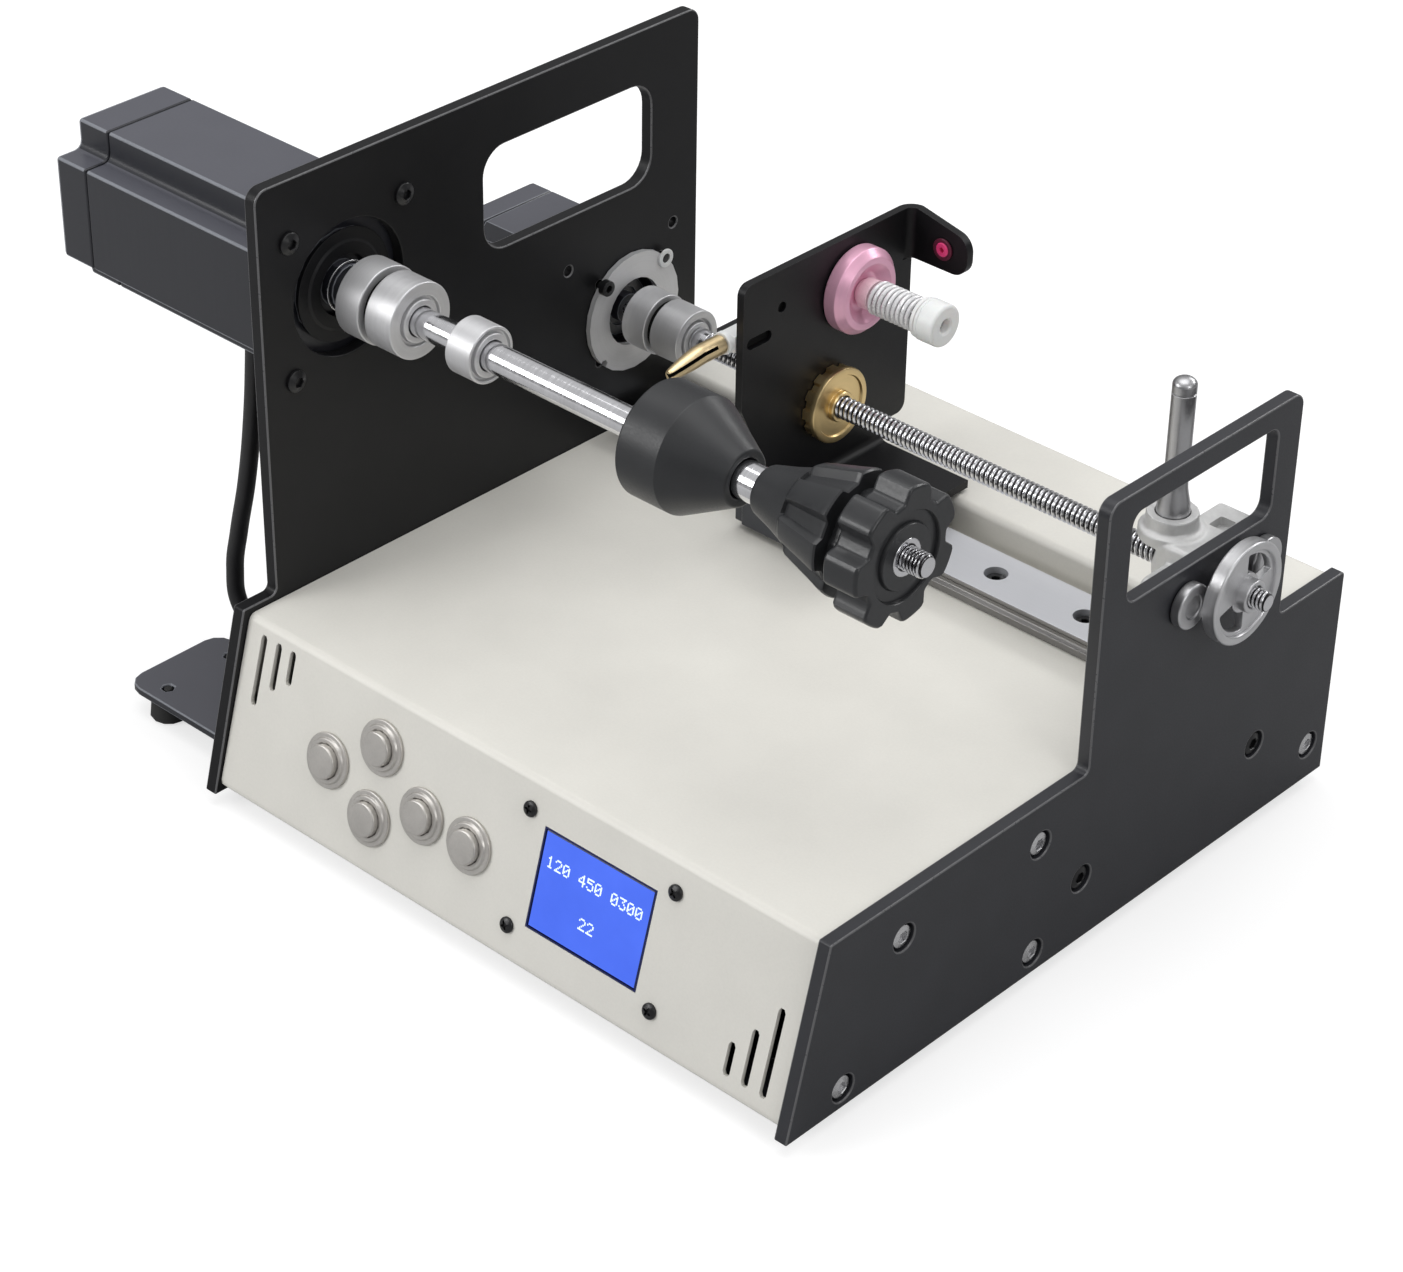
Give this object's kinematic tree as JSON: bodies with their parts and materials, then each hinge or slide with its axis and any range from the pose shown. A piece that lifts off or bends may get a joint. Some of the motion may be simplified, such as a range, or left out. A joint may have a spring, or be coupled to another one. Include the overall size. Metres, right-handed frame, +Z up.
{
  "type": "wire coil winding machine",
  "caption": "Benchtop winder: a motor spindle with clamping cones turns a bobbin while a screw-driven carriage lays the wire through a tensioner and guide tip.",
  "frame": {"origin": "on the table, under the middle of the machine's bounding box", "axes": "+Z up; +X along the spindle from the motors to the handwheel; +Y from the sloping control panel to the rear"},
  "size_m": [0.392, 0.278, 0.2194],
  "materials": {
    "ivory_paint": "satin powder coat",
    "black_anodised": "dark satin anodised",
    "slate_paint": "fine dark paint",
    "black_plastic": "fine matte",
    "polished_steel": "polished",
    "satin_steel": "satin",
    "cast_aluminium": "cast and blasted",
    "brass": "turned",
    "rose_anodised": "rose anodised",
    "ruby": "clear red gloss",
    "white_nylon": "natural white",
    "blue_glass": "blue backlit",
    "green_board": "solder mask",
    "rubber": "matte",
    "cable_jacket": "matte sleeve"
  },
  "bodies": {
    "base": {"base_cover": "ivory_paint", "bottom_plate": "black_anodised", "button_switches": "satin_steel", "control_board": "green_board", "display_lens": "blue_glass", "display_module": "black_plastic", "end_bearing": "polished_steel", "end_block": "cast_aluminium", "end_block_bolt_1": "polished_steel", "end_block_bolt_2": "polished_steel", "guide_post": "polished_steel", "left_side_plate": "black_anodised", "linear_rail": "satin_steel", "outrigger_plate": "black_anodised", "power_inlet": "black_plastic", "power_supply": "cast_aluminium", "rear_panel": "black_anodised", "right_side_plate": "black_anodised", "rubber_foot_1": "rubber", "rubber_foot_2": "rubber", "rubber_foot_3": "rubber", "rubber_foot_4": "rubber", "rubber_foot_5": "rubber", "rubber_foot_6": "rubber", "spindle_motor_cable": "cable_jacket", "spindle_motor_front_cap": "slate_paint", "spindle_motor_rear_cap": "slate_paint", "spindle_motor_stator": "slate_paint", "traverse_flange_ring": "satin_steel", "traverse_motor_body": "slate_paint", "traverse_motor_cable": "cable_jacket"},
    "spindle": {"spindle_motor_rotor": "satin_steel", "spindle_coupling": "satin_steel", "spindle_shaft": "polished_steel", "shaft_collar": "satin_steel", "spacer_sleeve": "polished_steel", "fixed_cone": "black_plastic"},
    "clamp": {"clamp_cone": "black_plastic"},
    "knob": {"star_knob": "black_plastic"},
    "screw": {"traverse_motor_rotor": "satin_steel", "traverse_coupling": "satin_steel", "lead_screw": "polished_steel", "handwheel": "cast_aluminium"},
    "carriage": {"carriage_block": "black_plastic", "carriage_bracket": "black_anodised", "traverse_nut": "brass", "wire_eyelet": "ruby", "tension_post": "white_nylon", "tension_spring": "white_nylon"},
    "guide": {"wire_guide_tip": "brass", "guide_bush": "white_nylon"},
    "disc": {"tension_disc": "rose_anodised"},
    "washer": {"spring_washer": "white_nylon"},
    "tensioner": {"tension_knob": "white_nylon"},
    "rocker": {"switch_rocker": "black_plastic"},
    "button_1": {"button_cap_1": "satin_steel"},
    "button_2": {"button_cap_2": "satin_steel"},
    "button_3": {"button_cap_3": "satin_steel"},
    "button_4": {"button_cap_4": "satin_steel"},
    "button_5": {"button_cap_5": "satin_steel"}
  },
  "joints": [
    {"name": "spindle_spin", "type": "hinge", "parent": "base", "child": "spindle", "pos_m": [-0.08255, -0.06885, 0.1725], "axis": [1, 0, 0], "continuous": true},
    {"name": "clamp_slide", "type": "slide", "parent": "spindle", "child": "clamp", "axis": [1, 0, 0], "range_m": [-0.008, 0.004]},
    {"name": "knob_spin", "type": "hinge", "parent": "clamp", "child": "knob", "pos_m": [0.13645, -0.06885, 0.1725], "axis": [1, 0, 0], "range_deg": [-2304, 1152]},
    {"name": "screw_spin", "type": "hinge", "parent": "base", "child": "screw", "pos_m": [-0.08255, 0.06295, 0.114], "axis": [1, 0, 0], "range_deg": [-16200, 8100]},
    {"name": "carriage_slide", "type": "slide", "parent": "base", "child": "carriage", "axis": [1, 0, 0], "range_m": [-0.045, 0.09]},
    {"name": "guide_slide", "type": "slide", "parent": "carriage", "child": "guide", "axis": [0, 1, 0], "range_m": [-0.004, 0.004]},
    {"name": "disc_spin", "type": "hinge", "parent": "carriage", "child": "disc", "pos_m": [0.01175, 0.07345, 0.154], "axis": [1, 0, 0], "continuous": true},
    {"name": "washer_slide", "type": "slide", "parent": "carriage", "child": "washer", "axis": [1, 0, 0], "range_m": [-0.0028, 0.0014], "deforming": ["tension_spring"]},
    {"name": "tensioner_spin", "type": "hinge", "parent": "washer", "child": "tensioner", "pos_m": [0.04445, 0.07345, 0.154], "axis": [1, 0, 0], "range_deg": [-1440, 720]},
    {"name": "rocker_tilt", "type": "hinge", "parent": "base", "child": "rocker", "pos_m": [0.12247, 0.13695, 0.05533], "axis": [1, 0, 0], "range_deg": [-14, 0]},
    {"name": "button_press_1", "type": "slide", "parent": "base", "child": "button_1", "axis": [0, 0.9609, -0.2768], "range_m": [0, 0.0016], "stiffness_N_per_m": 300, "springref_m": -0.0008},
    {"name": "button_press_2", "type": "slide", "parent": "base", "child": "button_2", "axis": [0, 0.9609, -0.2768], "range_m": [0, 0.0016], "stiffness_N_per_m": 300, "springref_m": -0.0008},
    {"name": "button_press_3", "type": "slide", "parent": "base", "child": "button_3", "axis": [0, 0.9609, -0.2768], "range_m": [0, 0.0016], "stiffness_N_per_m": 300, "springref_m": -0.0008},
    {"name": "button_press_4", "type": "slide", "parent": "base", "child": "button_4", "axis": [0, 0.9609, -0.2768], "range_m": [0, 0.0016], "stiffness_N_per_m": 300, "springref_m": -0.0008},
    {"name": "button_press_5", "type": "slide", "parent": "base", "child": "button_5", "axis": [0, 0.9609, -0.2768], "range_m": [0, 0.0016], "stiffness_N_per_m": 300, "springref_m": -0.0008}
  ],
  "couplings": [
    {"joint": "knob_spin", "follows": "clamp_slide", "rad_per_m": 5026.5},
    {"joint": "screw_spin", "follows": "carriage_slide", "rad_per_m": -3141.6},
    {"joint": "tensioner_spin", "follows": "washer_slide", "rad_per_m": 8976}
  ]
}
